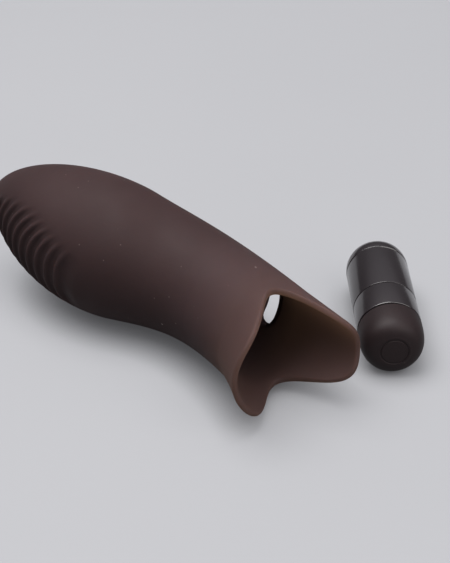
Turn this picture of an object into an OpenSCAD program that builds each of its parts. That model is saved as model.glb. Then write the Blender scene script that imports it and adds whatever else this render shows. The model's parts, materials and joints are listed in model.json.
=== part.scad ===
// Soft finger-worn sleeve and the round battery-powered vibrating unit that goes inside it.
// Millimetres, +Z up. Origin: centre of the whole part's footprint, on the table.
// The sleeve lies on its side with its mouth towards +X; the unit lies beside the mouth.

/* [Sleeve body] */
// Length from the closed tip to the notch plane of the mouth, along the curved centreline
sleeve_l = 104; // [90:1:120]
// Radius of the swollen head if its tip weren't rounded off
head_r = 24; // [20:0.5:26]
// Radius of the neck at the mouth
neck_r = 13.7; // [12:0.1:16]
// Length over which the closed tip rounds off
tip_l = 47.9; // [35:0.5:55]
// Fullness of the rounded tip
tip_power = 1.52; // [1.3:0.02:2.4]
// Radius of the small ball that rounds the very end of the tip
tip_ball = 7.1; // [4:0.1:10]
// Number of points around the sleeve
sleeve_pts = 48; // [24:4:96]

/* [Mouth] */
// Wall thickness at the lip
lip_t = 1.5; // [1:0.1:3]
// Wall thickness of the neck
neck_t = 1.9; // [1.2:0.1:4]
// Mean distance of the lip in front of the notch plane
lip_mean = 10.6; // [6:0.1:14]
// How much further the two lobes reach than the notches
lobe_reach = 6.9; // [3:0.1:9]
// How much longer the back lobe is than the pad-side lobe
lobe_bias = 2.45; // [0:0.05:5]
// Fullness of the lobes' rounded ends
lobe_full = 2.5; // [0:0.1:4]
// Mean radius of the lip
lip_r = 15.85; // [13:0.05:18]
// Outward flare of the pad-side lobe
lip_flare = 3.5; // [0:0.1:6]
// Ovalness of the lip, wider across the lobes
lip_oval = 1.66; // [0:0.02:4]
// Length of neck that flares towards the lobes
flare_l = 27.4; // [15:0.1:40]
// How late the flare starts
flare_power = 2.23; // [1:0.05:4]

/* [Ribbed pad] */
// Number of low ribs
rib_n = 11; // [3:1:14]
// Distance from rib to rib
rib_pitch = 3; // [2:0.1:5]
// First rib's distance from the tip
rib_start = 6.7; // [5:0.1:20]
// How strongly the ribs' ends sweep back towards the mouth
rib_sweep = 28.3; // [0:0.1:40]
// Height from groove to crest
rib_h = 1.0; // [0.2:0.05:1.5]
// Direction of the pad's middle around the sleeve, degrees from the top
pad_mid = 103; // [80:1:180]
// Half width of the pad, degrees
pad_half = 53; // [30:1:80]

/* [Finger tunnel and pocket] */
// Depth of the finger tunnel behind the notch plane
tunnel_l = 43; // [30:0.5:55]
// Radius of the tunnel's inner end
tunnel_r = 9.8; // [8.5:0.1:12]
// Radius of the pocket that holds the power unit
pocket_r = 8.5; // [7:0.1:10]
// Straight length of the pocket before its round end
pocket_l = 30; // [20:0.5:34]
// Width of the oblong window in the back wall
window_w = 5.2; // [3:0.1:9]
// Height of the oblong window
window_h = 14.5; // [6:0.5:18]
// Distance of the window's middle behind the notch plane
window_s = 10.1; // [4:0.1:16]
// Distance of the window's middle below the centreline
window_drop = 1.9; // [0:0.1:4]

/* [Power unit] */
// Outer radius of the unit
unit_r = 8.5; // [7:0.1:11]
// Length of the soft push cap
cap_l = 10.33; // [9:0.1:18]
// Bluntness of the push cap's end
cap_blunt = 4; // [2:0.1:6]
// Length of the glossy collar
collar_l = 9.74; // [6:0.1:14]
// Length of the barrel
barrel_l = 17.8; // [14:0.1:30]
// Length of the domed nose
nose_l = 7.85; // [7.6:0.05:12]
// Length of the nose's rounding
dome_l = 7.53; // [6:0.01:12]
// Inner radius of the barrel
barrel_bore_r = 7.3; // [6:0.05:9]
// Position of the unit's cap end on the table, and its heading
unit_x = 57.41; // [40:0.5:80]
// Sideways position of the cap end
unit_y = 5.34; // [-10:0.5:20]
// Heading of the unit, degrees from +X, cap end to nose
unit_turn = 133.32; // [0:1:180]

/* [Closure and switch] */
// Running clearance between the screw cap's round pieces and what they turn in
run_fit = 0.08; // [0.02:0.01:0.1]
// Length of the screw spigot that enters the barrel
spigot_l = 5.6; // [4:0.1:8]
// Open gap in front of the push cap, a little more than its travel
cap_gap = 0.58; // [0.4:0.02:1.2]
// Radius of the collar's rear neck, on which the push cap slides
neck_slide_r = 6.97; // [6:0.05:7.5]
// Radius of the button cells
cell_r = 5.8; // [4:0.1:6.5]
// Height of one button cell
cell_h = 5.4; // [2:0.1:6]

/* [Motor] */
// Outer radius of the motor can
can_r = 4.9; // [3:0.1:6]
// Length of the motor can
can_l = 10; // [6:0.5:14]
// Radius of the motor shaft
shaft_r = 0.5; // [0.4:0.05:1.2]
// Radius of the eccentric weight
weight_r = 4.3; // [2.5:0.1:4.8]
// Length of the eccentric weight
weight_l = 3.8; // [2:0.1:6]

/* [Hidden] */
$fn = 64;
// centreline of the sleeve, tip to mouth
spine = [[-62.43, -19.81, 23.44], [-19.18, -21.49, 20.08], [-12.6, -17.88, 17.93],
         [-10.58, -4.79, 13.93], [36.45, -17.99, 16.52]];
// radius along the centreline, before the tip is rounded off
girth = [head_r, 20.65, 17.7, 15.2, neck_r];
// where the ball begins and where it meets the tapering tip
tip_cut = 0.86;
tip_join = 2.5;
mouth_t = (spine[4] - spine[3]) / norm(spine[4] - spine[3]);
// pocket: middle of its open end and the direction out of it
pocket_seat = [-7.75, -14.55, 17.5];
pocket_yaw = -1.2;
pocket_pitch = 2.4;
// the tunnel's inner end moves onto the pocket's axis
tunnel_shift = [0, -0.35, 0.59];
// stations along the unit, from the cap end
seam3 = cap_l;
seam2 = seam3 + collar_l;
seam1 = seam2 + barrel_l;
unit_end = seam1 + nose_l;
cell_front = unit_end - 20.17;
motor_back = unit_end - 17.31;
motor_front = motor_back + can_l;
joint_gap = 0.15;
// stations inside the cap end
cap_wall = 1.2;
boss_end = 2.6;
body_front = 3.5;
collar_front = 4.1;
pcb_front = 5.7;
pcb_t = 0.8;
bead_at = 6.6;
sleeve_seat = seam3 + 1.1;

// ---------- curve helpers ----------
function mix(a, b, f) = a * (1 - f) + b * f;
function ease(f) = let (c = min(1, max(0, f))) c * c * (3 - 2 * c);
function bez(p, t) = len(p) == 1 ? p[0] : bez([for (i = [0:len(p) - 2]) mix(p[i], p[i + 1], t)], t);
function slope(p, t) = bez([for (i = [0:len(p) - 2]) p[i + 1] - p[i]], t);
function unit(v) = v / norm(v);
function heading(t) = unit(slope(spine, t));
function left_of(t) = let (h = heading(t)) unit(cross([0, 0, 1], h));
function arc_rows(n, i = 0, s = 0, rows = []) =
    i > n ? rows
    : arc_rows(n, i + 1, s + norm(bez(spine, (i + 1) / n) - bez(spine, i / n)), concat(rows, [[s, i / n]]));
arc = arc_rows(200);
function t_at(s) = lookup(s, arc);
arc_end = lookup(1 - flare_l / sleeve_l, [for (r = arc) [r[1], r[0]]]);
function at(t, a, r, out = 0) =
    let (h = heading(t), n = left_of(t), b = cross(h, n))
    bez(spine, t) + out * mouth_t + r * (cos(a) * b - sin(a) * n);

// ---------- sleeve surface ----------
function tip_round(s) = let (u = min(1, max(0, 1 - s / tip_l))) pow(1 - pow(u, tip_power), 1 / tip_power);
// angle from the pad's middle
function off_pad(a) = abs((a - pad_mid + 540) % 360 - 180);
// row k of the head lies at k in the pad's middle and is swept back at the ribs' ends
function sweep_share(k) = ease(k / 30) * (1 - ease((k - 40) / (arc_end - 40)));
function swept(k, a) = k + rib_sweep * sweep_share(k) * pow(1 - cos(min(60, off_pad(a))), 1.45);
function pad_mask(k, a) =
    let (half = pad_half - 1.15 * max(0, k - 20) - 1.5 * max(0, 14 - k)) 1 - ease((off_pad(a) - half + 16) / 20);
// 0 on a crest, -1 in a groove; the last groove runs out gently
function rib_wave(k) =
    let (f = (k - rib_start) / rib_pitch, e = abs(f - round(f)))
    f < -1 ? 0 : f > rib_n - 0.5 ? ease((f - rib_n + 0.5) / 1.3) - 1 : -ease((e - 0.02) / 0.36);
function round_r(s) = bez(girth, t_at(s)) * tip_round(s);
function end_r(s) = s < tip_join ? sqrt(pow(tip_ball, 2) - pow(tip_cut + tip_ball - s, 2)) : round_r(s);
function body_r(k, a) = end_r(swept(k, a)) + rib_h * rib_wave(k) * pad_mask(k, a) * min(1, k / 9);
function lobe_s(a) = let (p = a - 90)
    lip_mean - lobe_bias * cos(p) + lobe_reach * cos(2 * p) + 0.3 * cos(3 * p) - lobe_full * cos(4 * p);
function lobe_r(a) = let (p = a - 90) lip_r + lip_flare * cos(p) + lip_oval * cos(2 * p);
function flare_at(sg, a) = max(0, (sg + flare_l) / (lobe_s(a) + flare_l));
function outer_r(sg, a) =
    bez(girth, min(1, 1 + sg / sleeve_l)) + (lobe_r(a) - neck_r) * pow(flare_at(sg, a), flare_power);
function wall(sg) = mix(lip_t, neck_t, ease(-sg / 8 + 1)) + 5.2 * ease((-12 - sg) / (tunnel_l - 12));
function mouth_at(sg, a, r) = at(min(1, 1 + sg / sleeve_l), a, r, max(0, sg));

ang = [for (j = [0:sleeve_pts - 1]) 360 * j / sleeve_pts];
rib_end = rib_start + rib_n * rib_pitch;
head_rows = concat([tip_cut + 0.08, tip_cut + 0.35, tip_cut + 0.85, 2.6], [for (k = [-3:3 * rib_n + 1]) rib_start + k * rib_pitch / 3],
                   [for (k = [1:5]) mix(rib_end + 1, arc_end, k / 5)]);
flare_steps = 9;
function flare_ring(k, n, inset) =
    [for (a = ang) let (sg = -flare_l + (lobe_s(a) + flare_l) * k / n)
        mouth_at(sg, a, outer_r(sg, a) - inset * wall(sg))];
lip_ring = [for (a = ang) let (s = lobe_s(a)) mouth_at(s + 0.45, a, outer_r(s, a) - lip_t / 2)];
tunnel_steps = 4;
tunnel_rings = [for (k = [1:tunnel_steps])
    let (sg = -flare_l - (tunnel_l - flare_l) * k / tunnel_steps, e = ease(k / tunnel_steps))
    [for (a = ang) mouth_at(sg, a, mix(outer_r(sg, a) - wall(sg), tunnel_r, e)) + e * tunnel_shift]];
sleeve_rings = concat(
    [for (k = head_rows) [for (a = ang) at(t_at(swept(k, a)), a, body_r(k, a))]],
    [for (k = [1:flare_steps]) flare_ring(k, flare_steps, 0)],
    [lip_ring],
    [for (k = [flare_steps:-1:0]) flare_ring(k, flare_steps, 1)],
    tunnel_rings,
    [[for (a = ang) mouth_at(-tunnel_l - 1.6, a, tunnel_r - 1) + tunnel_shift]]);

module ring_solid(rings, first, last) {
    n = len(rings[0]);
    m = len(rings);
    points = concat([first], [for (r = rings) each r], [last]);
    faces = concat(
        [for (j = [0:n - 1]) [0, 1 + j, 1 + (j + 1) % n]],
        [for (i = [0:m - 2], j = [0:n - 1]) each [
            [1 + i * n + j, 1 + (i + 1) * n + j, 1 + (i + 1) * n + (j + 1) % n],
            [1 + i * n + j, 1 + (i + 1) * n + (j + 1) % n, 1 + i * n + (j + 1) % n]]],
        [for (j = [0:n - 1]) [1 + m * n, 1 + (m - 1) * n + (j + 1) % n, 1 + (m - 1) * n + j]]);
    polyhedron(points = points, faces = faces, convexity = 6);
}

// pocket outline: round blind end, then straight to a little past its mouth
pocket_past = 3;
pocket_outline = concat(
    [for (k = [0:6]) [k == 0 ? 0 : pocket_r * sin(15 * k), -pocket_r * cos(15 * k)]],
    [[pocket_r, pocket_l + pocket_past], [0, pocket_l + pocket_past]]);
// upright oblong with round ends
window_outline = [for (e = [0, 1], k = [0:8]) let (a = 180 * e + 22.5 * k, c = (1 - 2 * e) * (window_h - window_w) / 2)
    [window_w / 2 * cos(a), c + window_w / 2 * sin(a)]];

module sleeve() {
    wt = 1 - window_s / sleeve_l;
    wc = bez(spine, wt);
    wn = heading(wt);
    color([0.27, 0.23, 0.23])
    difference() {
        ring_solid(sleeve_rings, bez(spine, t_at(tip_cut)), mouth_at(-tunnel_l - 1.6, 0, 0) + tunnel_shift);
        // pocket for the power unit, with a round blind end
        translate(pocket_seat) rotate([0, pocket_pitch, pocket_yaw]) {
            translate([-pocket_l, 0, 0]) rotate([0, 90, 0]) rotate_extrude() polygon(pocket_outline);
            // keeps the tunnel's bend out of the unit's straight way in
            translate([pocket_past, 0, 0]) rotate([0, 90, 0]) cylinder(r = pocket_r + 0.1, h = 10);
        }
        // oblong window through the back wall
        translate([wc[0], wc[1], wc[2] - window_drop]) rotate([0, 0, atan2(wn[1], wn[0])]) {
            translate([0, 22, 0]) rotate([90, 0, 0]) linear_extrude(height = 16) polygon(window_outline);
        }
    }
}

// ---------- power unit, drawn standing on its cap end ----------
module lay_unit() {
    translate([unit_x, unit_y, unit_r]) rotate([0, 0, unit_turn]) rotate([0, 90, 0]) children();
}
module tube(ro, ri, z0, z1) {
    difference() {
        translate([0, 0, z0]) cylinder(r = ro, h = z1 - z0);
        translate([0, 0, z0 - 1]) cylinder(r = ri, h = z1 - z0 + 2);
    }
}
module turned(pts) { rotate_extrude() polygon(pts); }
function cap_profile(u) = unit_r * pow(1 - pow((cap_l - u) / cap_l, cap_blunt), 1 / cap_blunt);
function nose_profile(u) = unit_r * pow(1 - pow(max(0, 1 - (unit_end - u) / dome_l), 2.41), 1 / 2.41);

module barrel() {
    c = 0.25;
    color([0.3, 0.28, 0.3])
    lay_unit() difference() {
        turned([[barrel_bore_r, seam2 + joint_gap], [unit_r - c, seam2 + joint_gap], [unit_r, seam2 + joint_gap + c],
                [unit_r, seam1 - joint_gap - c], [unit_r - c, seam1 - joint_gap], [barrel_bore_r, seam1 - joint_gap]]);
        // seat for the sealing ring
        translate([0, 0, seam2]) cylinder(r = 8.12, h = 1.15);
    }
}

module nose_cap() {
    n = 14;
    shell = 1.2;
    outer = [for (k = [0:n]) let (u = seam1 + 0.4 + (nose_l - 0.4) * sin(90 * k / n))
        [k == n ? 0 : nose_profile(u), u]];
    inner = [for (k = [0:n]) let (u = seam1 + (nose_l - shell) * sin(90 * k / n))
        [k == n ? 0 : nose_profile(u + 0.35) - shell - 0.25, u]];
    color([0.3, 0.28, 0.3])
    lay_unit() turned(concat(
        [[6.25, seam1 - 1.85], [7.25, seam1 - 1.85], [7.25, seam1 - 0.12], [7.9, seam1 - 0.12], [8.2, seam1 + 0.1]],
        outer,
        [for (k = [n:-1:0]) inner[k]],
        [[6.25, seam1 - 0.5]]));
}

module o_ring() {
    ring_r = 7.67;
    wire = 0.4;
    color([0.12, 0.12, 0.12])
    lay_unit() translate([0, 0, seam2 + 0.62]) rotate_extrude() translate([ring_r, 0]) circle(r = wire, $fn = 32);
}

module contact_ring() {
    color([0.8, 0.66, 0.36])
    lay_unit() tube(6.8, 6.55, sleeve_seat + 0.1, seam2 - 1);
}

module collar() {
    sp = barrel_bore_r - run_fit;
    c = 0.25;
    color([0.28, 0.26, 0.28])
    lay_unit() difference() {
        union() {
            turned([[0, collar_front], [neck_slide_r - 0.2, collar_front], [neck_slide_r, collar_front + 0.2],
                    [neck_slide_r, seam3], [unit_r - c, seam3],
                    [unit_r, seam3 + c], [unit_r, seam2 - c], [unit_r - c, seam2], [sp, seam2],
                    [sp, seam2 + spigot_l - 0.3], [sp - 0.3, seam2 + spigot_l], [0, seam2 + spigot_l]]);
            // bead that keeps the push cap on
            translate([0, 0, bead_at]) cylinder(r = 7.2, h = 0.4);
        }
        // bore for the circuit board, seat for the contact ring, then the way through the spigot
        translate([0, 0, collar_front - 1]) cylinder(r = 6.4, h = sleeve_seat - collar_front + 1.5);
        translate([0, 0, sleeve_seat]) cylinder(r = 6.88, h = seam2 - 0.9 - sleeve_seat);
        translate([0, 0, sleeve_seat]) cylinder(r = 6.6, h = 30);
    }
}

module push_cap() {
    n = 16;
    front = seam3 - cap_gap;
    skin = [for (k = [0:n]) let (u = front * (1 - cos(90 * k / n))) [cap_profile(u), u]];
    color([0.2, 0.18, 0.19])
    lay_unit() difference() {
        union() {
            difference() {
                turned(concat([[0, 0]], skin, [[0, front]]));
                translate([0, 0, cap_wall + 0.4]) cylinder(r1 = 4.9, r2 = 7.05, h = 1.8);
                translate([0, 0, cap_wall + 2.1]) cylinder(r = neck_slide_r + run_fit, h = 20);
                translate([0, 0, cap_wall]) cylinder(r = 3.6, h = 1);
                translate([0, 0, bead_at - 0.5]) cylinder(r = 7.28, h = 1.05);
            }
            // boss that presses the switch
            translate([0, 0, cap_wall - 0.3]) cylinder(r = 1.9, h = boss_end - cap_wall + 0.3);
        }
        // shallow ring pressed into the face
        translate([0, 0, -0.3]) difference() {
            cylinder(r = 3.8, h = 0.55);
            translate([0, 0, -1]) cylinder(r = 3.35, h = 3);
        }
    }
}

module switch_pcb() {
    color([0.1, 0.3, 0.16])
    lay_unit() difference() {
        translate([0, 0, pcb_front]) cylinder(r = 6.3, h = pcb_t);
        for (e = [-1, 1]) translate([e * 5.2, 0, pcb_front - 1]) cylinder(r = 0.4, h = 3);
    }
}

module pcb_retainer() {
    color([0.85, 0.85, 0.82])
    lay_unit() tube(6.32, 5.3, pcb_front + pcb_t + 0.05, seam3 - 1.43);
}

module switch_body() {
    color([0.75, 0.75, 0.77])
    lay_unit() difference() {
        translate([-3, -3, body_front]) cube([6, 6, pcb_front - body_front]);
        translate([0, 0, body_front - 1]) cylinder(r = 1.83, h = 2.4);
    }
}

module switch_plunger() {
    color([0.15, 0.15, 0.15])
    lay_unit() translate([0, 0, boss_end + 0.1]) cylinder(r = 1.75, h = 1.6);
}

module cell_spring() {
    turns = 3;
    steps = 20;
    sides = 6;
    wire = 0.3;
    z0 = pcb_front + pcb_t + 0.33;
    rise = 2.02;
    total = turns * steps;
    wide = 4.2;
    narrow = 2.6;
    rings = [for (i = [0:total])
        let (a = 360 * i / steps, f = i / total, r = mix(wide, narrow, f), z = z0 + rise * ease(f))
        [for (k = [0:sides - 1]) let (b = -360 * k / sides, q = r + wire * cos(b))
            [q * cos(a), q * sin(a), z + wire * sin(b)]]];
    color([0.82, 0.82, 0.84])
    lay_unit() {
        ring_solid(rings, [wide, 0, z0], [narrow, 0, z0 + rise]);
    }
}

module battery_tube() {
    color([0.9, 0.88, 0.8])
    lay_unit() tube(6.15, 5.88, seam3 - 0.33, cell_front - 0.04);
}

module cell(k) {
    z = cell_front - (k + 1) * cell_h - k * 0.05;
    color([0.78, 0.78, 0.8])
    lay_unit() {
        translate([0, 0, z]) cylinder(r = cell_r - 0.7, h = 0.3);
        translate([0, 0, z + 0.3]) cylinder(r = cell_r, h = cell_h - 0.3);
    }
}
module cell_1() { cell(0); }
module cell_2() { cell(1); }
module cell_3() { cell(2); }

module front_contact() {
    z = cell_front + 0.05;
    color([0.8, 0.66, 0.36])
    lay_unit() {
        translate([0, 0, z]) cylinder(r = 3.2, h = 0.35);
        translate([0, 0, z + 0.2]) cylinder(r = 0.6, h = 1.75);
    }
}

module motor_cradle() {
    z = cell_front + 0.45;
    color([0.9, 0.9, 0.88])
    lay_unit() difference() {
        translate([0, 0, z]) cylinder(r = 7.2, h = motor_front - 2.6 - z);
        translate([0, 0, z + 1]) cylinder(r = can_r + 0.05, h = 20);
        translate([0, 0, z - 1]) cylinder(r = 0.68, h = 4);
        translate([6.05, -0.95, z - 1]) cube([3, 1.9, 20]);
    }
}

module ground_strip() {
    color([0.8, 0.66, 0.36])
    lay_unit() translate([6.2, -0.8, seam2 - 4]) cube([0.25, 1.6, motor_front - 2.8 - seam2 + 4]);
}

module motor_can() {
    color([0.7, 0.7, 0.72])
    lay_unit() difference() {
        translate([0, 0, motor_back]) cylinder(r = can_r, h = can_l);
        translate([0, 0, motor_back - 1]) cylinder(r = can_r - 0.4, h = can_l + 0.5);
        translate([0, 0, motor_back]) cylinder(r = 1.25, h = can_l + 2);
    }
}

module motor_magnets() {
    color([0.25, 0.25, 0.27])
    lay_unit() difference() {
        tube(can_r - 0.45, 3.75, motor_back + 1.8, motor_front - 1.4);
        for (e = [-1, 1]) translate([-6, e * 6 - 4, motor_back]) cube([12, 8, can_l]);
    }
}

module motor_bush() {
    color([0.72, 0.6, 0.3])
    lay_unit() tube(1.2, shaft_r + 0.05, motor_front - 0.9, motor_front + 0.45);
}

module motor_end_cap() {
    color([0.92, 0.92, 0.9])
    lay_unit() difference() {
        union() {
            translate([0, 0, motor_back - 0.8]) cylinder(r = can_r, h = 0.75);
            translate([0, 0, motor_back - 0.1]) cylinder(r = can_r - 0.48, h = 0.8);
        }
        translate([0, 0, motor_back - 0.4]) cylinder(r = shaft_r + 0.05, h = 3);
    }
}

module motor_shaft() {
    color([0.8, 0.8, 0.82])
    lay_unit() translate([0, 0, motor_back - 0.25]) cylinder(r = shaft_r, h = can_l + 5.3);
}

module armature() {
    color([0.62, 0.35, 0.2])
    lay_unit() difference() {
        translate([0, 0, motor_back + 2.4]) cylinder(r = 3.4, h = 5.6);
        translate([0, 0, motor_back]) cylinder(r = shaft_r, h = 12);
        for (a = [0, 120, 240]) rotate([0, 0, a]) translate([2, -0.3, motor_back]) cube([4, 0.6, 12]);
    }
}

module commutator() {
    color([0.75, 0.5, 0.3])
    lay_unit() tube(1.2, shaft_r, motor_back + 0.95, motor_back + 2.2);
}

module eccentric_weight() {
    color([0.55, 0.55, 0.57])
    lay_unit() difference() {
        union() {
            translate([0, 0, motor_front + 0.7]) cylinder(r = 1.5, h = weight_l);
            intersection() {
                translate([0, 0, motor_front + 0.7]) cylinder(r = weight_r, h = weight_l);
                translate([0, -6, motor_front]) cube([12, 12, 12]);
            }
        }
        translate([0, 0, motor_front]) cylinder(r = shaft_r, h = 12);
    }
}

sleeve();
barrel();
nose_cap();
o_ring();
contact_ring();
collar();
push_cap();
switch_pcb();
pcb_retainer();
switch_body();
switch_plunger();
cell_spring();
battery_tube();
cell_1();
cell_2();
cell_3();
front_contact();
motor_cradle();
ground_strip();
motor_can();
motor_magnets();
motor_bush();
motor_end_cap();
motor_shaft();
armature();
commutator();
eccentric_weight();
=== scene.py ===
"""Looks of the finger sleeve and its vibrating unit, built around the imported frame. Metres."""
import bpy
import json
import math
import numpy as np
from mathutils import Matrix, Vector


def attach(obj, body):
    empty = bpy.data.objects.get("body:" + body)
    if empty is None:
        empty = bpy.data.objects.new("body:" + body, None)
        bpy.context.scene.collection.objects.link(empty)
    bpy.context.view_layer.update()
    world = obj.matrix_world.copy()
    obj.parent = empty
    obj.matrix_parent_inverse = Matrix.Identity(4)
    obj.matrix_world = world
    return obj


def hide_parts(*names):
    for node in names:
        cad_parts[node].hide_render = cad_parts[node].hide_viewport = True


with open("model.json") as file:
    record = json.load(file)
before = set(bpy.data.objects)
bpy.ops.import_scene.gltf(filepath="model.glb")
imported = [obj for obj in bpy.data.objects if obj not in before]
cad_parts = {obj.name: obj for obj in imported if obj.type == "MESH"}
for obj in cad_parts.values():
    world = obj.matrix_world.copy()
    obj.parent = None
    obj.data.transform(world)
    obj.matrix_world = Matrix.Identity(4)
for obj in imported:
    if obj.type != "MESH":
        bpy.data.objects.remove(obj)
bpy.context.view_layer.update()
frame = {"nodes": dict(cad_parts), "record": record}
MM = 0.001

# ---------------------------------------------------------------- camera
CAM_AT = Vector((243.85, -272.55, 242.93)) * MM
CAM_TURN = math.radians(41.3)
CAM_DOWN = math.radians(32.69)


def make_camera():
    cam = bpy.data.cameras.new("camera")
    cam.lens = 101.54
    cam.sensor_width = 36.0
    cam.clip_start = 0.01
    ob = bpy.data.objects.new("camera", cam)
    bpy.context.scene.collection.objects.link(ob)
    ob.location = CAM_AT
    ob.rotation_euler = (math.pi / 2 - CAM_DOWN, 0, CAM_TURN)
    bpy.context.scene.camera = ob


make_camera()

# ---------------------------------------------------------------- sleeve shape, as in the frame
SPINE = np.array([[-62.43, -19.81, 23.44], [-19.18, -21.49, 20.08], [-12.6, -17.88, 17.93],
                  [-10.58, -4.79, 13.93], [36.45, -17.99, 16.52]])
GIRTH = np.array([[24.0], [20.65], [17.7], [15.2], [13.7]])
SLEEVE_L, NECK_R, TIP_L, TIP_POWER = 104.0, 13.7, 47.9, 1.52
TIP_BALL, TIP_CUT, TIP_JOIN = 7.1, 0.86, 2.5
LIP_T, NECK_T, TUNNEL_L, TUNNEL_R = 1.5, 1.9, 43.0, 9.8
FLARE_L, FLARE_POWER = 27.4, 2.23
RIB_N, RIB_PITCH, RIB_START, RIB_H, RIB_SWEEP = 11, 3.0, 6.7, 1.0, 28.3
RIB_FADE = 9    # the ribs reach their full height this far from the tip
PAD_MID, PAD_HALF = 103.0, 53.0
POCKET_SEAT = np.array([-7.75, -14.55, 17.5])
TUNNEL_SHIFT = np.array([0, -0.35, 0.59])
POCKET_YAW, POCKET_PITCH, POCKET_R, POCKET_L = math.radians(-1.2), math.radians(2.4), 8.5, 30.0
WINDOW_S, WINDOW_W, WINDOW_H, WINDOW_DROP = 10.1, 5.2, 14.5, 1.9
AROUND = 192
ANG = np.linspace(0, 2 * np.pi, AROUND, endpoint=False)
FLARE_ROWS = 88    # rows of cells between neck and lip
WALL_STEPS = 6    # cells through the wall at the window
EDGE_ROUND = 0.22    # the window's edges are rounded by this much
LIP_BULGE = 0.7


def bez(p, t):
    p = [np.broadcast_to(q, t.shape + (len(q),)) for q in p]
    t = t[..., None]
    while len(p) > 1:
        p = [a * (1 - t) + b * t for a, b in zip(p[:-1], p[1:])]
    return p[0]


def unit(v):
    return v / np.linalg.norm(v, axis=-1, keepdims=True)


MOUTH_T = unit(SPINE[4] - SPINE[3])
SPINE_T = np.linspace(0, 1, 2001)
ARC = np.r_[0, np.cumsum(np.linalg.norm(np.diff(bez(SPINE, SPINE_T), axis=0), axis=1))]
ARC_END = float(np.interp(1 - FLARE_L / SLEEVE_L, SPINE_T, ARC))


def frame_at(t):
    h = unit(bez(np.diff(SPINE, axis=0), t))
    n = unit(np.cross(np.array([0, 0, 1.0]), h))
    return bez(SPINE, t), h, n, np.cross(h, n)


def at(t, a, r, out=0.0):
    c, h, n, b = frame_at(t)
    a, r, out = (np.asarray(v, float)[..., None] if np.ndim(v) else v for v in (a, r, out))
    return c + out * MOUTH_T + r * (np.cos(a) * b - np.sin(a) * n)


def ease(f):
    c = np.clip(f, 0, 1)
    return c * c * (3 - 2 * c)


def tip_round(s):
    return (1 - np.clip(1 - s / TIP_L, 0, 1) ** TIP_POWER) ** (1 / TIP_POWER)


def off_pad(a):
    return np.abs((np.degrees(a) - PAD_MID + 540) % 360 - 180)


def swept(k, a):
    """Distance from the tip of row k: the rows sweep back towards the mouth at the ribs' ends."""
    lift = RIB_SWEEP * (1 - np.cos(np.radians(np.minimum(60, off_pad(a))))) ** 1.45
    return k + lift * ease(k / 30) * (1 - ease((k - 40) / (ARC_END - 40)))


def pad_mask(k, a):
    half = PAD_HALF - 1.15 * np.maximum(0, k - 20) - 1.5 * np.maximum(0, 14 - k)
    return 1 - ease((off_pad(a) - half + 16) / 20)


def rib_wave(k):
    f = (k - RIB_START) / RIB_PITCH
    e = np.abs(f - np.round(f))
    wave = np.where(f > RIB_N - 0.5, ease((f - RIB_N + 0.5) / 1.3) - 1, -ease((e - 0.02) / 0.36))
    return np.where(f < -1, 0, wave)


def head_point(k, a):
    s = swept(k, a)
    t = np.interp(s, ARC, SPINE_T)
    ball = np.sqrt(np.maximum(0, TIP_BALL ** 2 - (TIP_CUT + TIP_BALL - s) ** 2))
    ribs = RIB_H * rib_wave(k) * pad_mask(k, a) * np.minimum(1, k / RIB_FADE)
    return at(t, a, np.where(s < TIP_JOIN, ball, bez(GIRTH, t)[..., 0] * tip_round(s)) + ribs)


def lobe_s(a):
    p = a - math.pi / 2
    return 10.6 - 2.45 * np.cos(p) + 6.9 * np.cos(2 * p) + 0.3 * np.cos(3 * p) - 2.5 * np.cos(4 * p)


def lobe_r(a):
    p = a - math.pi / 2
    return 15.85 + 3.5 * np.cos(p) + 1.66 * np.cos(2 * p)


def outer_r(sg, a):
    f = np.maximum(0, (sg + FLARE_L) / (lobe_s(a) + FLARE_L))
    return bez(GIRTH, np.minimum(1, 1 + sg / SLEEVE_L))[..., 0] + (lobe_r(a) - NECK_R) * f ** FLARE_POWER


def wall(sg):
    return LIP_T + (NECK_T - LIP_T) * ease(-sg / 8 + 1) + 5.2 * ease((-12 - sg) / (TUNNEL_L - 12))


def mouth_at(sg, a, r):
    return at(np.minimum(1, 1 + sg / SLEEVE_L), a, r, np.maximum(0, sg))


# ---------------------------------------------------------------- mesh helpers
def new_object(name, verts, faces):
    me = bpy.data.meshes.new(name)
    me.from_pydata([tuple(v) for v in verts], [], [tuple(f) for f in faces])
    me.validate()
    me.polygons.foreach_set("use_smooth", [True] * len(me.polygons))
    me.update()
    ob = bpy.data.objects.new(name, me)
    bpy.context.scene.collection.objects.link(ob)
    return ob


def flare(k, inset):
    """Row k of the flare, from neck to lip: the outside for inset 0, the inside for inset 1."""
    sg = -FLARE_L + (lobe_s(ANG) + FLARE_L) * k / FLARE_ROWS
    return mouth_at(sg, ANG, outer_r(sg, ANG) - inset * wall(sg))


def lip_rows():
    """Half round from the lip's outer edge to its inner edge."""
    outer, inner = flare(FLARE_ROWS, 0), flare(FLARE_ROWS, 1)
    return [(outer + inner) / 2 + (outer - inner) / 2 * np.cos(q) + np.sin(q) * LIP_BULGE * MOUTH_T
            for q in np.linspace(0, np.pi, 8)[1:-1]]


def tunnel_rows():
    rows = []
    for f in np.linspace(0, 1, 26)[1:]:
        sg = np.full_like(ANG, -FLARE_L - (TUNNEL_L - FLARE_L) * f)
        r = (outer_r(sg, ANG) - wall(sg)) * (1 - ease(f)) + TUNNEL_R * ease(f)
        rows.append(mouth_at(sg, ANG, r) + ease(f) * TUNNEL_SHIFT)
    return rows


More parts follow.
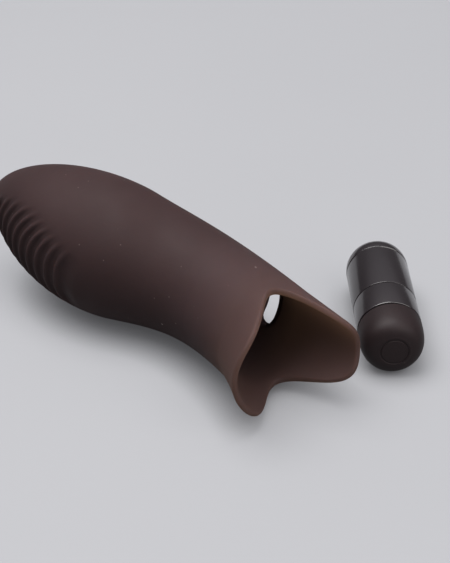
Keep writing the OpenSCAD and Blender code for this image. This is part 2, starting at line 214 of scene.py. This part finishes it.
def pocket_rows(tunnel_end):
    """From the tunnel's last row over the pocket's edge to its round end, and that end's point."""
    cy, sy = math.cos(POCKET_YAW), math.sin(POCKET_YAW)
    cp, sp = math.cos(POCKET_PITCH), math.sin(POCKET_PITCH)
    axis = np.array([cy * cp, sy * cp, -sp])
    left = unit(np.cross([0, 0, 1], axis))
    up = np.cross(axis, left)

    def ring(x, r):
        return POCKET_SEAT + x * axis + r * (np.cos(ANG)[:, None] * up - np.sin(ANG)[:, None] * left)

    edge = ring(-0.4, POCKET_R + 0.5)
    rows = [tunnel_end * 0.35 + edge * 0.65 - 0.4 * axis, edge, ring(-1.2, POCKET_R)]
    rows += [ring(x, POCKET_R) for x in np.linspace(-2.5, -POCKET_L, 24)]
    for degrees in np.linspace(0, 84, 14)[1:]:
        q = math.radians(degrees)
        rows.append(ring(-POCKET_L - POCKET_R * math.sin(q), POCKET_R * math.cos(q)))
    return rows, POCKET_SEAT - (POCKET_L + POCKET_R) * axis


def sleeve_rings():
    """Rings of the whole skin from tip to lip to pocket, the flare's ring numbers, both end points."""
    tip_rows = TIP_CUT + 2.2 * np.linspace(0.1, 1, 10) ** 2
    rib_rows = np.arange(3.25, 42.5, 0.25)
    neck_rows = np.linspace(43, ARC_END, 38)
    rings = [head_point(np.full_like(ANG, k), ANG) for k in np.concatenate([tip_rows, rib_rows, neck_rows])]
    outer_rows, inner_rows = {0: len(rings) - 1}, {}
    for k in range(1, FLARE_ROWS + 1):
        outer_rows[k] = len(rings)
        rings.append(flare(k, 0))
    rings += lip_rows()
    for k in range(FLARE_ROWS, -1, -1):
        inner_rows[k] = len(rings)
        rings.append(flare(k, 1))
    rings += tunnel_rows()
    pocket, pocket_end = pocket_rows(rings[-1])
    rings += pocket
    tip_end = bez(SPINE, np.interp(np.array([TIP_CUT]), ARC, SPINE_T))[0]
    return np.array(rings), outer_rows, inner_rows, np.array([tip_end, pocket_end])


# ---------------------------------------------------------------- oblong window through the back wall
WINDOW_MID, WINDOW_HEADING = (v[0] for v in frame_at(np.array([1 - WINDOW_S / SLEEVE_L]))[:2])
WINDOW_ALONG = unit(np.array([WINDOW_HEADING[0], WINDOW_HEADING[1], 0.0]))
WINDOW_OUT = np.array([-WINDOW_ALONG[1], WINDOW_ALONG[0], 0.0])
WINDOW_AT = WINDOW_MID + np.array([0, 0, -WINDOW_DROP])
WINDOW_STRAIGHT = (WINDOW_H - WINDOW_W) / 2


def on_window(p):
    """Place of p on the window's plane, along and up, and its depth square to that plane."""
    d = p - WINDOW_AT
    return np.stack([d @ WINDOW_ALONG, d[..., 2]], -1), d @ WINDOW_OUT


def outline_distance(q, grow):
    side, over = np.abs(q[..., 0]), np.abs(q[..., 1]) - WINDOW_STRAIGHT
    return np.where(over > 0, np.hypot(side, np.maximum(over, 0)), side) - (WINDOW_W / 2 + grow)


def to_outline(p, grow):
    """p moved, at its own depth, onto the window's outline grown by this much."""
    q, depth = on_window(p)
    z = np.clip(q[1], -WINDOW_STRAIGHT, WINDOW_STRAIGHT)
    d = np.array([q[0], q[1] - z])
    along, up = np.array([0, z]) + d / max(np.linalg.norm(d), 1e-6) * (WINDOW_W / 2 + grow)
    return WINDOW_AT + WINDOW_ALONG * along + WINDOW_OUT * depth + np.array([0, 0, up])


def snap(p, inside):
    """p moved to the window's outline along its own wall, at exactly the outline's height."""
    moved = to_outline(p, EDGE_ROUND)
    sg = -WINDOW_S + (moved - WINDOW_MID) @ WINDOW_HEADING
    centre, _, n, b = (v[0] for v in frame_at(np.array([min(1, 1 + sg / SLEEVE_L)])))
    centre = centre + max(0, sg) * MOUTH_T
    d = moved - centre
    a = math.atan2(-(d @ n), d @ b)
    r = outer_r(np.array([sg]), np.array([a]))[0] - (wall(np.array([sg]))[0] if inside else 0)
    a = -math.acos(max(-1, min(1, (moved[2] - centre[2]) / (r * b[2]))))
    return centre + r * (math.cos(a) * b - math.sin(a) * n)


def window_cells(rings, outer_rows):
    """Cells of the flare that the window takes out, and the corners along its edge."""
    hole = set()
    for k in range(1, FLARE_ROWS - 1):
        a, b = rings[outer_rows[k]], rings[outer_rows[k + 1]]
        q, depth = on_window((a + b + np.roll(a, -1, 0) + np.roll(b, -1, 0)) / 4)
        for j in np.nonzero((outline_distance(q, 0.05) < 0) & (depth > 4))[0]:
            hole.add((k, int(j)))
    uses = {}
    for k, j in hole:
        j2 = (j + 1) % AROUND
        for corner in ((k, j), (k, j2), (k + 1, j), (k + 1, j2)):
            uses[corner] = uses.get(corner, 0) + 1
    return hole, [corner for corner, count in uses.items() if count < 4]


def skin_faces(count, cut):
    """Faces between neighbouring rings, but for the cut cells, and the fans to both end points."""
    faces = []
    for i in range(count - 1):
        for j in range(AROUND):
            if (i, j) not in cut:
                j2 = (j + 1) % AROUND
                faces.append((i * AROUND + j, i * AROUND + j2, (i + 1) * AROUND + j2, (i + 1) * AROUND + j))
    last = (count - 1) * AROUND
    for j in range(AROUND):
        j2 = (j + 1) % AROUND
        faces.append((count * AROUND, j2, j))
        faces.append((count * AROUND + 1, last + j, last + j2))
    return faces


def window_wall(rings, outer_rows, inner_rows, hole, edge, first):
    """Points (numbered from first), faces and sharp edges of the wall through the window."""
    column, points = {}, []
    for k, j in edge:
        a, b = rings[outer_rows[k]][j], rings[inner_rows[k]][j]
        ids = [outer_rows[k] * AROUND + j]
        for step in range(1, WALL_STEPS):
            f = step / WALL_STEPS
            ids.append(first + len(points))
            points.append(to_outline(a * (1 - f) + b * f, EDGE_ROUND * abs(2 * f - 1) ** 2.5))
        column[(k, j)] = ids + [inner_rows[k] * AROUND + j]
    faces, sharp = [], set()
    for k, j in hole:
        before, after = (j - 1) % AROUND, (j + 1) % AROUND
        sides = (((k, j), (k, after), (k - 1, j)),
                 ((k + 1, after), (k + 1, j), (k + 1, j)),
                 ((k + 1, j), (k, j), (k, before)),
                 ((k, after), (k + 1, after), (k, after)))
        for start, end, neighbour in sides:
            if neighbour not in hole:
                u, v = column[start], column[end]
                sharp |= {(u[0], v[0]), (u[-1], v[-1])}
                faces += [(u[q], v[q], v[q + 1], u[q + 1]) for q in range(WALL_STEPS)]
    return points, faces, sharp


def build_sleeve():
    rings, outer_rows, inner_rows, ends = sleeve_rings()
    hole, edge = window_cells(rings, outer_rows)
    for k, j in edge:
        for rows, inside in ((outer_rows, False), (inner_rows, True)):
            rings[rows[k]][j] = snap(rings[rows[k]][j], inside)
    cut = {(outer_rows[k], j) for k, j in hole} | {(inner_rows[k + 1], j) for k, j in hole}
    first = len(rings) * AROUND + len(ends)
    points, wall_faces, sharp = window_wall(rings, outer_rows, inner_rows, hole, edge, first)
    faces = skin_faces(len(rings), cut) + wall_faces
    verts = np.vstack([rings.reshape(-1, 3), ends, np.array(points)]) * MM
    # drop the points left inside the hole
    used = np.zeros(len(verts), bool)
    for f in faces:
        used[list(f)] = True
    index = np.cumsum(used) - 1
    ob = new_object("silicone_sleeve", verts[used], [tuple(index[v] for v in f) for f in faces])
    if signed_volume(ob.data) < 0:
        ob.data.flip_normals()
    sharp = {tuple(sorted((int(index[a]), int(index[b])))) for a, b in sharp}
    for e in ob.data.edges:
        if tuple(sorted(e.vertices)) in sharp:
            e.use_edge_sharp = True
    return ob


def signed_volume(me):
    me.calc_loop_triangles()
    co = np.empty(len(me.vertices) * 3)
    me.vertices.foreach_get("co", co)
    co = co.reshape(-1, 3)
    tri = np.empty(len(me.loop_triangles) * 3, np.int64)
    me.loop_triangles.foreach_get("vertices", tri)
    a, b, c = (co[tri.reshape(-1, 3)[:, i]] for i in range(3))
    return float(np.einsum("ij,ij->i", a, np.cross(b, c)).sum() / 6)


# ---------------------------------------------------------------- unit shape
UNIT_AT = np.array([57.41, 5.34, 8.5])
UNIT_TURN = math.radians(133.32)
UNIT_R = 8.5
SEAM3 = 10.33
SEAM2 = SEAM3 + 9.74
SEAM1 = SEAM2 + 17.8
NOSE_TOP = SEAM1 + 7.85
CAP_FRONT = SEAM3 - 0.58
COLLAR_FRONT, BEAD_AT = 4.1, 6.6
TURNED = 144    # points round a turned piece
CAP_BLUNT = 4    # higher is blunter
DOME_L, DOME_POWER = 7.53, 2.41
UNIT_DIR = np.array([math.cos(UNIT_TURN), math.sin(UNIT_TURN), 0.0])
UNIT_SIDE = np.array([-math.sin(UNIT_TURN), math.cos(UNIT_TURN), 0.0])
UNIT_UP = np.array([0.0, 0.0, 1.0])


def rounded(profile, radius):
    """Rounds the inner corners of an open polyline of (r, u); radius is one number per inner corner."""
    out = [np.array(profile[0], float)]
    for i in range(1, len(profile) - 1):
        a, b, c = (np.array(profile[k], float) for k in (i - 1, i, i + 1))
        r = radius[i - 1] if isinstance(radius, (list, tuple)) else radius
        r = min(r, np.linalg.norm(b - a) * 0.48, np.linalg.norm(c - b) * 0.48)
        if r <= 0:
            out.append(b)
            continue
        p, q = b + (a - b) / np.linalg.norm(a - b) * r, b + (c - b) / np.linalg.norm(c - b) * r
        for f in np.linspace(0, 1, 5):
            out.append((1 - f) ** 2 * p + 2 * f * (1 - f) * b + f * f * q)
    out.append(np.array(profile[-1], float))
    return out


def lathe(name, profile):
    """A turned piece on the unit's axis from a closed loop of (r, u)."""
    pts = [np.array(p, float) for p in profile]
    keep = [pts[0]]
    for p in pts[1:]:
        if np.linalg.norm(p - keep[-1]) > 1e-4:
            keep.append(p)
    if np.linalg.norm(keep[0] - keep[-1]) < 1e-4:
        keep.pop()
    pts = keep
    ang = np.linspace(0, 2 * np.pi, TURNED, endpoint=False)
    verts, rows = [], []
    for r, u in pts:
        base = UNIT_AT + u * UNIT_DIR
        if r < 1e-4:
            rows.append([len(verts)])
            verts.append(base)
        else:
            rows.append(list(range(len(verts), len(verts) + TURNED)))
            verts.extend(base + r * (np.cos(ang)[:, None] * UNIT_UP + np.sin(ang)[:, None] * UNIT_SIDE))
    faces = []
    for i in range(len(rows)):
        a, b = rows[i], rows[(i + 1) % len(rows)]
        if len(a) == 1 and len(b) == 1:
            continue
        for j in range(TURNED):
            j2 = (j + 1) % TURNED
            if len(a) == 1:
                faces.append((a[0], b[j2], b[j]))
            elif len(b) == 1:
                faces.append((a[j], a[j2], b[0]))
            else:
                faces.append((a[j], a[j2], b[j2], b[j]))
    ob = new_object(name, np.array(verts) * MM, faces)
    if signed_volume(ob.data) < 0:
        ob.data.flip_normals()
    return ob


def cap_r(u):
    return UNIT_R * (1 - ((SEAM3 - u) / SEAM3) ** CAP_BLUNT) ** (1 / CAP_BLUNT)


def nose_r(u):
    return UNIT_R * (1 - np.clip(1 - (NOSE_TOP - u) / DOME_L, 0, 1) ** DOME_POWER) ** (1 / DOME_POWER)


def build_push_cap():
    skin = [(float(cap_r(u)), float(u)) for u in CAP_FRONT * (1 - np.cos(np.linspace(0, np.pi / 2, 80)))]
    skin = [(r, u) for r, u in skin if r > 4.6]
    # nearly flat face with a shallow pressed ring
    face = rounded([(0, 0.06), (3.3, 0.06), (3.37, 0.27), (3.78, 0.27), (3.85, 0.10), (4.3, 0.12), skin[0]],
                   [0.05, 0.1, 0.1, 0.12, 0.1])
    outer = face[:-1] + skin[:-1]
    edge = rounded([skin[-2], (cap_r(CAP_FRONT), CAP_FRONT), (7.05, CAP_FRONT), (7.05, BEAD_AT + 0.6)],
                   [0.35, 0.15])
    inner = [(7.28, BEAD_AT + 0.55), (7.28, BEAD_AT - 0.5), (7.05, BEAD_AT - 0.5), (7.05, 3.4),
             (4.9, 1.6), (3.6, 1.6), (3.6, 1.2), (1.9, 1.2), (1.9, 2.6), (0, 2.6)]
    return lathe("soft_push_cap", outer + edge + inner)


def build_collar():
    outer = [(6.4, COLLAR_FRONT), (6.97, COLLAR_FRONT), (6.97, BEAD_AT), (7.2, BEAD_AT),
             (7.2, BEAD_AT + 0.4), (6.97, BEAD_AT + 0.4), (6.97, SEAM3), (UNIT_R, SEAM3), (UNIT_R, SEAM2),
             (7.22, SEAM2), (7.22, SEAM2 + 5.6), (6.6, SEAM2 + 5.6), (6.6, SEAM2 - 0.9),
             (6.88, SEAM2 - 0.9), (6.88, SEAM3 + 1.1), (6.4, SEAM3 + 1.1)]
    radii = [0.15, 0.02, 0.1, 0.1, 0.02, 0.0, 0.38, 0.38, 0.0, 0.25] + [0.02] * 4
    return lathe("glossy_collar", rounded(outer, radii))


def build_barrel():
    gap = 0.15
    outer = [(8.12, SEAM2 + 1.1), (8.12, SEAM2 + gap), (UNIT_R, SEAM2 + gap), (UNIT_R, SEAM1 - gap),
             (7.3, SEAM1 - gap), (7.3, SEAM2 + 1.15), (8.12, SEAM2 + 1.15)]
    return lathe("glossy_barrel", rounded(outer, [0.05, 0.3, 0.12, 0.05, 0.05]))


def build_nose():
    us = SEAM1 + 0.5 + (NOSE_TOP - SEAM1 - 0.5) * np.sin(np.linspace(0, np.pi / 2, 60))
    dome = [(float(nose_r(u)) if u < NOSE_TOP - 1e-9 else 0.0, float(u)) for u in us]
    ui = SEAM1 + (NOSE_TOP - 1.2 - SEAM1) * np.sin(np.linspace(0, np.pi / 2, 30))
    inner = [(max(0.0, float(nose_r(u + 0.35)) - 1.45), float(u)) for u in ui]
    inner[-1] = (0.0, inner[-1][1])
    rim = rounded([(6.25, SEAM1 - 1.85), (7.25, SEAM1 - 1.85), (7.25, SEAM1 - 0.12), (8.0, SEAM1 - 0.12),
                   (UNIT_R, SEAM1 + 0.36), dome[0]], [0.1, 0.0, 0.05, 0.1])
    return lathe("domed_nose", rim + dome[1:] + inner[::-1] + [(6.25, SEAM1 - 0.5)])


# ---------------------------------------------------------------- materials
class Nodes:
    """Small helper around a material's node tree."""

    def __init__(self, name):
        self.mat = bpy.data.materials.new(name)
        self.mat.use_nodes = True
        self.t = self.mat.node_tree
        self.bsdf = self.t.nodes["Principled BSDF"]
        self.coord = self.t.nodes.new("ShaderNodeTexCoord").outputs["Object"]

    def node(self, kind, **values):
        n = self.t.nodes.new(kind)
        for k, v in values.items():
            if hasattr(n, k):
                setattr(n, k, v)
            else:
                n.inputs[k].default_value = v
        return n

    def link(self, a, b):
        self.t.links.new(a, b)

    def noise(self, scale, detail=4.0, rough=0.55, coord=None):
        n = self.node("ShaderNodeTexNoise")
        n.inputs["Scale"].default_value = scale
        n.inputs["Detail"].default_value = detail
        n.inputs["Roughness"].default_value = rough
        self.link(coord or self.coord, n.inputs["Vector"])
        return n.outputs["Fac"]

    def ramp(self, fac, stops):
        n = self.node("ShaderNodeValToRGB")
        el = n.color_ramp.elements
        while len(el) < len(stops):
            el.new(0.5)
        for e, (p, c) in zip(el, stops):
            e.position = p
            e.color = (*c, 1)
        self.link(fac, n.inputs["Fac"])
        return n.outputs["Color"]

    def span(self, fac, low, high, a=0.3, b=0.7):
        n = self.node("ShaderNodeMapRange")
        n.inputs["From Min"].default_value = a
        n.inputs["From Max"].default_value = b
        n.inputs["To Min"].default_value = low
        n.inputs["To Max"].default_value = high
        self.link(fac, n.inputs["Value"])
        return n.outputs["Result"]

    def mix(self, fac, a, b):
        n = self.node("ShaderNodeMix", data_type="RGBA")
        for value, socket in ((fac, n.inputs[0]), (a, n.inputs[6]), (b, n.inputs[7])):
            if isinstance(value, tuple):
                socket.default_value = (*value, 1)
            else:
                self.link(value, socket)
        return n.outputs[2]

    def bump(self, height, strength, distance, normal=None):
        n = self.node("ShaderNodeBump")
        n.inputs["Strength"].default_value = strength
        n.inputs["Distance"].default_value = distance
        self.link(height, n.inputs["Height"])
        if normal is not None:
            self.link(normal, n.inputs["Normal"])
        return n.outputs["Normal"]

    def specks(self, scale, size, keep):
        """Sparse small dots: 1 inside a dot, 0 elsewhere. keep is the share of cells that hold one."""
        v = self.node("ShaderNodeTexVoronoi", feature="F1")
        v.inputs["Scale"].default_value = scale
        self.link(self.coord, v.inputs["Vector"])
        dot = self.span(v.outputs["Distance"], 1.0, 0.0, size * 0.4, size)
        sep = self.node("ShaderNodeSeparateColor")
        self.link(v.outputs["Color"], sep.inputs["Color"])
        chosen = self.span(sep.outputs["Red"], 0.0, 1.0, 1 - keep, 1 - keep + 0.01)
        m = self.node("ShaderNodeMath", operation="MULTIPLY")
        self.link(dot, m.inputs[0])
        self.link(chosen, m.inputs[1])
        return m.outputs[0]

    def set(self, **values):
        for k, v in values.items():
            socket = self.bsdf.inputs[k.replace("_", " ")]
            if isinstance(v, (int, float)):
                socket.default_value = v
            elif isinstance(v, tuple):
                socket.default_value = (*v, 1) if len(v) == 3 and socket.type == "RGBA" else v
            else:
                self.link(v, socket)


def soft_silicone(name, dark, light, rough=(0.60, 0.74), sss=0.12, lint=0.35, mouth_glow=0.0, shine=0.3):
    m = Nodes(name)
    broad = m.noise(28, 3)
    fine = m.noise(900, 4, 0.6)
    base = m.ramp(broad, [(0.3, dark), (0.7, light)])
    if mouth_glow:
        # towards the mouth the base colour is painted paler, a painted glow standing in for light through
        # the thin wall, and some warm light is also let through
        axis = m.node("ShaderNodeSeparateXYZ")
        m.link(m.coord, axis.inputs[0])
        near = m.node("ShaderNodeMapRange", interpolation_type="SMOOTHSTEP")
        for k, v in (("From Min", 0.006), ("From Max", 0.044), ("To Min", 0.0), ("To Max", 1.0)):
            near.inputs[k].default_value = v
        m.link(axis.outputs["X"], near.inputs["Value"])
        # painted glow: paler base colour towards the mouth
        base = m.mix(near.outputs["Result"], base, tuple(c * 1.6 + 0.006 for c in light))
    dots = m.specks(150, 0.055, lint)
    tiny = m.specks(420, 0.11, 0.16)
    col = m.mix(m.span(dots, 0, 0.8, 0, 1), base, (0.27, 0.22, 0.21))
    col = m.mix(m.span(tiny, 0, 0.4, 0, 1), col, (0.17, 0.135, 0.13))
    n1 = m.bump(fine, 0.22, 0.00012)
    n2 = m.bump(m.noise(120, 3), 0.22, 0.0003, n1)
    n3 = m.bump(dots, 0.5, 0.00015, n2)
    m.set(Base_Color=col, Roughness=m.span(m.noise(60, 4), rough[0], rough[1]), Normal=n3)
    m.set(Subsurface_Weight=sss, Subsurface_Radius=(1.0, 0.45, 0.3), Subsurface_Scale=0.0016)
    m.set(IOR=1.33, Specular_IOR_Level=shine)
    if mouth_glow:
        glow = m.node("ShaderNodeBsdfTranslucent")
        glow.inputs["Color"].default_value = (0.74, 0.56, 0.43, 1)
        blend = m.node("ShaderNodeMixShader")
        m.link(m.span(near.outputs["Result"], 0.0, mouth_glow, 0.15, 0.8), blend.inputs[0])
        m.link(m.bsdf.outputs[0], blend.inputs[1])
        m.link(glow.outputs[0], blend.inputs[2])
        m.link(blend.outputs[0], m.t.nodes["Material Output"].inputs["Surface"])
    return m.mat


def gloss_plastic(name, dark, light, rough=(0.16, 0.26)):
    m = Nodes(name)
    col = m.ramp(m.noise(45, 3), [(0.3, dark), (0.7, light)])
    dust = m.specks(420, 0.10, 0.12)
    col = m.mix(m.span(dust, 0, 0.6, 0, 1), col, tuple(min(1, c * 2.5 + 0.05) for c in light))
    # fine handling scratches, long round the unit
    mapping = m.node("ShaderNodeMapping")
    mapping.inputs["Rotation"].default_value = (0, 0, -UNIT_TURN)
    mapping.inputs["Scale"].default_value = (160, 900, 900)
    m.link(m.coord, mapping.inputs["Vector"])
    scratch = m.noise(1.0, 3, 0.6, mapping.outputs["Vector"])
    m.set(Base_Color=col, Roughness=m.span(m.noise(70, 4), rough[0], rough[1]))
    m.set(Normal=m.bump(scratch, 0.05, 0.00005, m.bump(m.noise(260, 2), 0.05, 0.00008)))
    m.set(IOR=1.5, Coat_Weight=0.35, Coat_Roughness=0.12)
    return m.mat


def metal(name, dark, light, rough=(0.22, 0.4), streak=(60, 900, 900)):
    m = Nodes(name)
    mapping = m.node("ShaderNodeMapping")
    mapping.inputs["Rotation"].default_value = (0, 0, -UNIT_TURN)
    mapping.inputs["Scale"].default_value = streak
    m.link(m.coord, mapping.inputs["Vector"])
    lines = m.noise(1.0, 4, 0.6, mapping.outputs["Vector"])
    stain = m.noise(160, 4)
    m.set(Base_Color=m.ramp(stain, [(0.3, dark), (0.7, light)]), Metallic=1.0)
    m.set(Roughness=m.span(lines, rough[0], rough[1]), Normal=m.bump(lines, 0.15, 0.00004))
    return m.mat


def moulded(name, dark, light, rough=(0.42, 0.6)):
    m = Nodes(name)
    grain = m.noise(1400, 3)
    m.set(Base_Color=m.ramp(m.noise(120, 4), [(0.3, dark), (0.7, light)]))
    m.set(Roughness=m.span(m.noise(300, 3), rough[0], rough[1]), Normal=m.bump(grain, 0.2, 0.00006))
    return m.mat


def circuit(name):
    m = Nodes(name)
    v = m.node("ShaderNodeTexVoronoi", feature="DISTANCE_TO_EDGE")
    v.inputs["Scale"].default_value = 900
    m.link(m.coord, v.inputs["Vector"])
    track = m.span(v.outputs["Distance"], 1, 0, 0.04, 0.07)
    m.set(Base_Color=m.mix(track, (0.02, 0.13, 0.05), (0.05, 0.28, 0.1)))
    m.set(Roughness=m.span(m.noise(300, 3), 0.3, 0.45))
    m.set(Normal=m.bump(track, 0.3, 0.00003))
    return m.mat


def winding(name):
    m = Nodes(name)
    w = m.node("ShaderNodeTexWave", wave_type="BANDS", bands_direction="X")
    mapping = m.node("ShaderNodeMapping")
    mapping.inputs["Rotation"].default_value = (0, 0, -UNIT_TURN)
    m.link(m.coord, mapping.inputs["Vector"])
    w.inputs["Scale"].default_value = 2200
    m.link(mapping.outputs["Vector"], w.inputs["Vector"])
    copper = m.ramp(w.outputs["Fac"], [(0.2, (0.2, 0.06, 0.02)), (0.8, (0.62, 0.25, 0.1))])
    m.set(Base_Color=copper, Metallic=0.85)
    m.set(Roughness=m.span(m.noise(300, 3), 0.28, 0.42), Normal=m.bump(w.outputs["Fac"], 0.5, 0.0001))
    return m.mat


def paint(ob, mat):
    if ob.type == "MESH" and len(ob.data.materials):
        for i in range(len(ob.data.materials)):
            ob.data.materials[i] = mat
    else:
        ob.data.materials.append(mat)


# ---------------------------------------------------------------- build
silicone = soft_silicone("silicone_brown", (0.0290, 0.0170, 0.0172), (0.0355, 0.0212, 0.0215), mouth_glow=0.27)
cap_skin = soft_silicone("silicone_cap", (0.0125, 0.0078, 0.0084), (0.0165, 0.0104, 0.0110),
                         rough=(0.45, 0.58), sss=0.03, lint=0.2, shine=0.45)
gloss = gloss_plastic("gloss_shell", (0.011, 0.008, 0.0095), (0.014, 0.0105, 0.012))
steel = metal("steel", (0.50, 0.50, 0.52), (0.62, 0.62, 0.64))
cell_metal = metal("cell_steel", (0.62, 0.62, 0.63), (0.74, 0.74, 0.75), rough=(0.18, 0.3))
weight_metal = metal("weight_metal", (0.30, 0.30, 0.32), (0.42, 0.42, 0.44), rough=(0.35, 0.5))
brass = metal("brass", (0.62, 0.44, 0.18), (0.80, 0.62, 0.30))
magnet = moulded("magnet_grey", (0.035, 0.035, 0.038), (0.06, 0.06, 0.065), rough=(0.5, 0.7))
white = moulded("white_plastic", (0.66, 0.64, 0.58), (0.76, 0.74, 0.68))
black = moulded("black_plastic", (0.015, 0.015, 0.016), (0.03, 0.03, 0.032))
seal = moulded("black_rubber", (0.01, 0.01, 0.01), (0.022, 0.022, 0.022), rough=(0.55, 0.75))
board = circuit("circuit_board")
copper = winding("copper_winding")

BY_SLOT = {"seal": seal, "brass": brass, "circuit_board": board, "white_plastic": white,
           "steel": steel, "black_plastic": black, "cell_steel": cell_metal,
           "magnet": magnet, "copper_winding": copper, "weight_steel": weight_metal, "silicone": silicone,
           "gloss_shell": gloss, "soft_cap": cap_skin}
for sub in frame["record"]["subparts"]:
    paint(frame["nodes"][sub["node"]], BY_SLOT[sub["material_slot"]])

for make, node, body, mat, slot in ((build_sleeve, "sleeve", "finger_sleeve", silicone, "silicone"),
                                    (build_barrel, "barrel", "power_unit", gloss, "gloss_shell"),
                                    (build_nose, "nose_cap", "power_unit", gloss, "gloss_shell"),
                                    (build_collar, "collar", "screw_cap", gloss, "gloss_shell"),
                                    (build_push_cap, "push_cap", "push_button", cap_skin, "soft_cap")):
    piece = make()
    piece.data.materials.append(mat)
    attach(piece, body)
    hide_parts(node)


# ---------------------------------------------------------------- floor and light
# painted light: the floor glows by itself, which lifts the shadows that fall on it; its own colour is dim
FLOOR_GLOW = 0.34


def make_floor():
    ob = new_object("floor", [(-3, -3, 0), (3, -3, 0), (3, 3, 0), (-3, 3, 0)], [(0, 1, 2, 3)])
    m = Nodes("floor")
    floor_base = m.ramp(m.noise(6, 2), [(0.3, (0.088, 0.089, 0.093)), (0.7, (0.093, 0.094, 0.098))])
    m.set(Base_Color=floor_base, Roughness=0.75)
    # painted shadow: the floor's glow is dimmed by occlusion near the objects, standing in for contact
    # shade
    near = m.node("ShaderNodeAmbientOcclusion", samples=16)
    near.inputs["Distance"].default_value = 0.012
    glow = m.span(near.outputs["AO"], FLOOR_GLOW * 0.25, FLOOR_GLOW, 0.15, 0.85)
    m.set(Emission_Color=(0.95, 0.955, 1.0), Emission_Strength=glow)
    m.set(Normal=m.bump(m.noise(220, 4), 0.06, 0.0004))
    ob.data.materials.append(m.mat)


def area_light(name, at_mm, look_mm, size, power, color):
    li = bpy.data.lights.new(name, "AREA")
    li.shape = "DISK"
    li.size = size
    li.energy = power
    li.color = color
    ob = bpy.data.objects.new(name, li)
    bpy.context.scene.collection.objects.link(ob)
    ob.location = Vector(at_mm) * MM
    d = (Vector(look_mm) - Vector(at_mm)).normalized()
    ob.rotation_euler = d.to_track_quat("-Z", "Y").to_euler()


def make_world(strength):
    """Soft light from all round: brightest overhead, a little darker near the horizon."""
    w = bpy.data.worlds.new("studio")
    bpy.context.scene.world = w
    w.use_nodes = True
    t = w.node_tree
    coord = t.nodes.new("ShaderNodeTexCoord")
    part = t.nodes.new("ShaderNodeSeparateXYZ")
    ramp = t.nodes.new("ShaderNodeValToRGB")
    t.links.new(coord.outputs["Generated"], part.inputs[0])
    t.links.new(part.outputs["Z"], ramp.inputs["Fac"])
    stops = [(0.0, 0.17), (0.12, 0.16), (0.32, 0.24), (0.62, 0.64), (1.0, 1.0)]
    el = ramp.color_ramp.elements
    while len(el) < len(stops):
        el.new(0.5)
    for e, (p, v) in zip(el, stops):
        e.position = p
        e.color = (0.955 * v, 0.962 * v, v, 1)
    t.links.new(ramp.outputs["Color"], t.nodes["Background"].inputs["Color"])
    t.nodes["Background"].inputs["Strength"].default_value = strength


make_floor()
view_right = Vector((math.cos(CAM_TURN), math.sin(CAM_TURN), 0))
view_away = Vector((-math.sin(CAM_TURN), math.cos(CAM_TURN), 0))


def spot(right, away, up):
    return tuple(view_right * right + view_away * away + Vector((0, 0, up)))


area_light("key", spot(-210, 30, 900), (0, 0, 10), 0.9, 18.0, (1.0, 0.985, 0.975))
area_light("fill", spot(480, -420, 520), (0, 0, 10), 0.7, 5.0, (1.0, 0.97, 0.95))
make_world(1.05)
bpy.context.scene.view_settings.view_transform = "Standard"
bpy.context.scene.view_settings.gamma = 0.86
